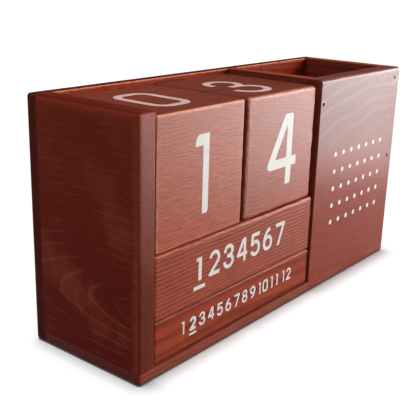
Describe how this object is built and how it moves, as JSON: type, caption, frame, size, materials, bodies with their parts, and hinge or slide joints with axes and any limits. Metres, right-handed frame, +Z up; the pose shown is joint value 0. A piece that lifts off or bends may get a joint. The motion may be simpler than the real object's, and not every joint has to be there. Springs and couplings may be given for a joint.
{
  "type": "perpetual desk calendar",
  "caption": "Nailed wooden desk calendar: an open bay with two date cubes over a weekday bar and a month bar, and a pen cup beside it.",
  "frame": {"origin": "middle of the underside, where the base rests on the desk", "axes": "+X to the right along the width, with the pen cup at +X; the open front with the date faces -Y, so +Y is depth towards the back board; +Z up"},
  "size_m": [0.194, 0.0582, 0.101],
  "materials": {
    "case_wood": "red-brown stain under satin varnish",
    "cube_wood": "red-brown stain under satin varnish, edges sanded lighter",
    "bar_wood": "red-brown stain under satin varnish, edges sanded lighter",
    "brad_steel": "dull, set below the surface",
    "white_print": "thin matt white ink"
  },
  "bodies": {
    "case": {"base_board": "case_wood", "back_board": "case_wood", "left_side_board": "case_wood", "divider_board": "case_wood", "right_side_board": "case_wood", "cup_front_board": "case_wood", "cup_front_brads": "brad_steel", "back_board_brads": "brad_steel", "base_board_brads": "brad_steel"},
    "tens_cube": {"date_cube_tens": "cube_wood"},
    "units_cube": {"date_cube_units": "cube_wood"},
    "front_day_bar": {"day_bar_front": "bar_wood"},
    "rear_day_bar": {"day_bar_rear": "bar_wood"},
    "front_month_bar": {"month_bar_front": "bar_wood"},
    "middle_month_bar": {"month_bar_middle": "bar_wood"},
    "rear_month_bar": {"month_bar_rear": "bar_wood"}
  },
  "joints": [
    {"name": "tens_cube_lift", "type": "slide", "parent": "case", "child": "tens_cube", "axis": [0, 0, 1], "range_m": [0, 0.06]},
    {"name": "units_cube_lift", "type": "slide", "parent": "case", "child": "units_cube", "axis": [0, 0, 1], "range_m": [0, 0.06]},
    {"name": "front_day_bar_pull", "type": "slide", "parent": "case", "child": "front_day_bar", "axis": [0, -1, 0], "range_m": [0, 0.11]},
    {"name": "rear_day_bar_pull", "type": "slide", "parent": "case", "child": "rear_day_bar", "axis": [0, -1, 0], "range_m": [0, 0.055]},
    {"name": "front_month_bar_pull", "type": "slide", "parent": "case", "child": "front_month_bar", "axis": [0, -1, 0], "range_m": [0, 0.165]},
    {"name": "middle_month_bar_pull", "type": "slide", "parent": "case", "child": "middle_month_bar", "axis": [0, -1, 0], "range_m": [0, 0.11]},
    {"name": "rear_month_bar_pull", "type": "slide", "parent": "case", "child": "rear_month_bar", "axis": [0, -1, 0], "range_m": [0, 0.055]}
  ],
  "couplings": [
    {"joint": "rear_day_bar_pull", "follows": "front_day_bar_pull", "ratio": 0.5},
    {"joint": "middle_month_bar_pull", "follows": "front_month_bar_pull", "ratio": 0.66},
    {"joint": "rear_month_bar_pull", "follows": "front_month_bar_pull", "ratio": 0.33}
  ]
}
